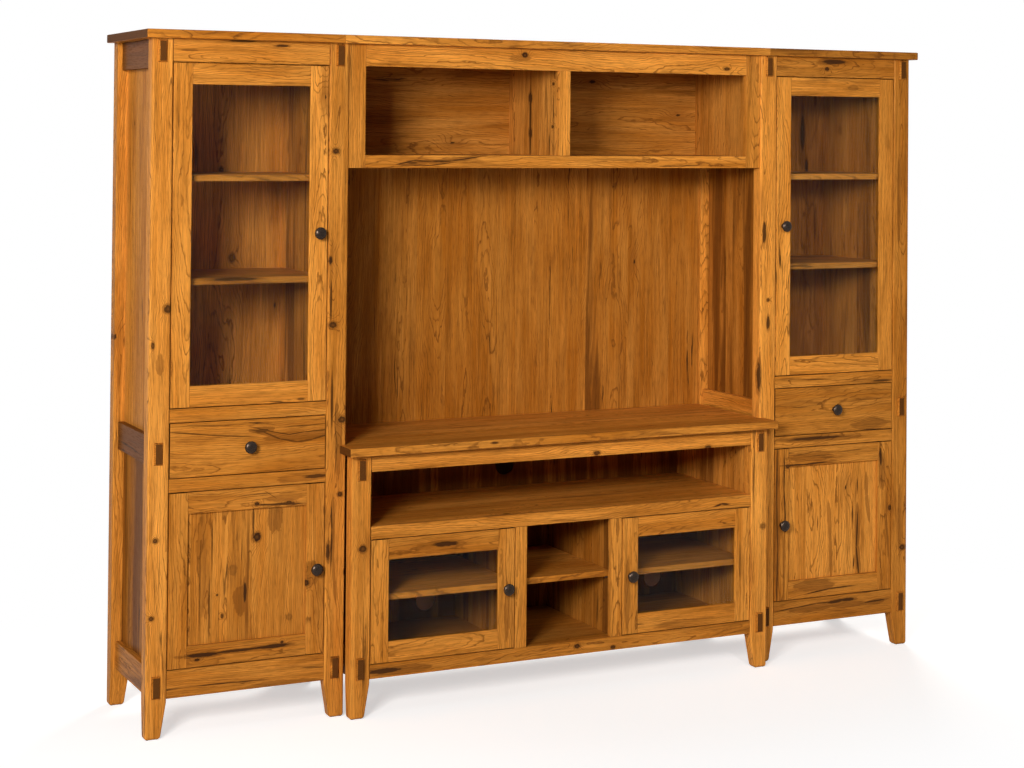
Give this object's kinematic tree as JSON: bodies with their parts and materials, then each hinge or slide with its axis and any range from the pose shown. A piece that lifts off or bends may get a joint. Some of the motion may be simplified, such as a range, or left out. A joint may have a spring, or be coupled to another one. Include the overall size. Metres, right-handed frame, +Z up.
{
  "type": "entertainment wall unit",
  "caption": "Rustic hickory wall unit: glazed display towers and a low media console under an open bridge, on tapered post feet with through tenons.",
  "frame": {"origin": "on the floor, under the middle of the unit's box", "axes": "+X along the width to the right, +Y from front to back, +Z up"},
  "size_m": [2.766, 0.542, 2.086],
  "materials": {
    "hickory": "honey stained rustic hickory with knots and mineral streaks, satin lacquer",
    "panel_hickory": "lighter edge-glued hickory boards, satin lacquer",
    "inner_hickory": "stained hickory inside the cases, satin lacquer",
    "glass": "clear flat glass",
    "dark_bronze": "oil-rubbed dark bronze, worn bright on the edges"
  },
  "bodies": {
    "carcass": {"bridge_case": "hickory", "bridge_top_board": "hickory", "console_back_panel": "inner_hickory", "console_bottom_deck": "hickory", "console_cubby_shelf": "inner_hickory", "console_left_front_post": "hickory", "console_left_partition": "hickory", "console_left_shelf": "inner_hickory", "console_left_side": "hickory", "console_media_shelf": "hickory", "console_right_front_post": "hickory", "console_right_partition": "hickory", "console_right_shelf": "inner_hickory", "console_right_side": "hickory", "console_top_board": "hickory", "left_tower_back_panel": "inner_hickory", "left_tower_bottom_deck": "hickory", "left_tower_display_deck": "hickory", "left_tower_drawer_deck": "hickory", "left_tower_inner_front_post": "hickory", "left_tower_inner_side": "hickory", "left_tower_lower_shelf": "inner_hickory", "left_tower_outer_front_post": "hickory", "left_tower_outer_side": "hickory", "left_tower_top_board": "hickory", "left_tower_upper_shelf": "inner_hickory", "niche_back_panel": "panel_hickory", "right_tower_back_panel": "inner_hickory", "right_tower_bottom_deck": "hickory", "right_tower_display_deck": "hickory", "right_tower_drawer_deck": "hickory", "right_tower_inner_front_post": "hickory", "right_tower_inner_side": "hickory", "right_tower_lower_shelf": "inner_hickory", "right_tower_outer_front_post": "hickory", "right_tower_outer_side": "hickory", "right_tower_top_board": "hickory", "right_tower_upper_shelf": "inner_hickory"},
    "left_tower_glass_door": {"left_tower_glass_door_frame": "hickory", "left_tower_glass_door_pane": "glass", "left_tower_glass_door_knob": "dark_bronze"},
    "left_tower_panel_door": {"left_tower_panel_door_frame": "hickory", "left_tower_panel_door_panel": "panel_hickory", "left_tower_panel_door_knob": "dark_bronze"},
    "left_tower_drawer": {"left_tower_drawer": "hickory", "left_tower_drawer_knob": "dark_bronze"},
    "right_tower_glass_door": {"right_tower_glass_door_frame": "hickory", "right_tower_glass_door_pane": "glass", "right_tower_glass_door_knob": "dark_bronze"},
    "right_tower_panel_door": {"right_tower_panel_door_frame": "hickory", "right_tower_panel_door_panel": "panel_hickory", "right_tower_panel_door_knob": "dark_bronze"},
    "right_tower_drawer": {"right_tower_drawer": "hickory", "right_tower_drawer_knob": "dark_bronze"},
    "console_left_door": {"console_left_door_frame": "hickory", "console_left_door_pane": "glass", "console_left_door_knob": "dark_bronze"},
    "console_right_door": {"console_right_door_frame": "hickory", "console_right_door_pane": "glass", "console_right_door_knob": "dark_bronze"}
  },
  "joints": [
    {"name": "left_tower_glass_door_hinge", "type": "hinge", "parent": "carcass", "child": "left_tower_glass_door", "pos_m": [-1.296, -0.176, 0.968], "axis": [0, 0, -1], "range_deg": [0, 110]},
    {"name": "left_tower_panel_door_hinge", "type": "hinge", "parent": "carcass", "child": "left_tower_panel_door", "pos_m": [-1.296, -0.176, 0.2], "axis": [0, 0, -1], "range_deg": [0, 110]},
    {"name": "left_tower_drawer_slide", "type": "slide", "parent": "carcass", "child": "left_tower_drawer", "axis": [0, -1, 0], "range_m": [0, 0.3]},
    {"name": "right_tower_glass_door_hinge", "type": "hinge", "parent": "carcass", "child": "right_tower_glass_door", "pos_m": [1.296, -0.176, 0.968], "axis": [0, 0, 1], "range_deg": [0, 110]},
    {"name": "right_tower_panel_door_hinge", "type": "hinge", "parent": "carcass", "child": "right_tower_panel_door", "pos_m": [1.296, -0.176, 0.2], "axis": [0, 0, 1], "range_deg": [0, 110]},
    {"name": "right_tower_drawer_slide", "type": "slide", "parent": "carcass", "child": "right_tower_drawer", "axis": [0, -1, 0], "range_m": [0, 0.3]},
    {"name": "console_left_door_hinge", "type": "hinge", "parent": "carcass", "child": "console_left_door", "pos_m": [-0.6795, -0.232, 0.163], "axis": [0, 0, -1], "range_deg": [0, 110]},
    {"name": "console_right_door_hinge", "type": "hinge", "parent": "carcass", "child": "console_right_door", "pos_m": [0.6795, -0.232, 0.163], "axis": [0, 0, 1], "range_deg": [0, 110]}
  ]
}
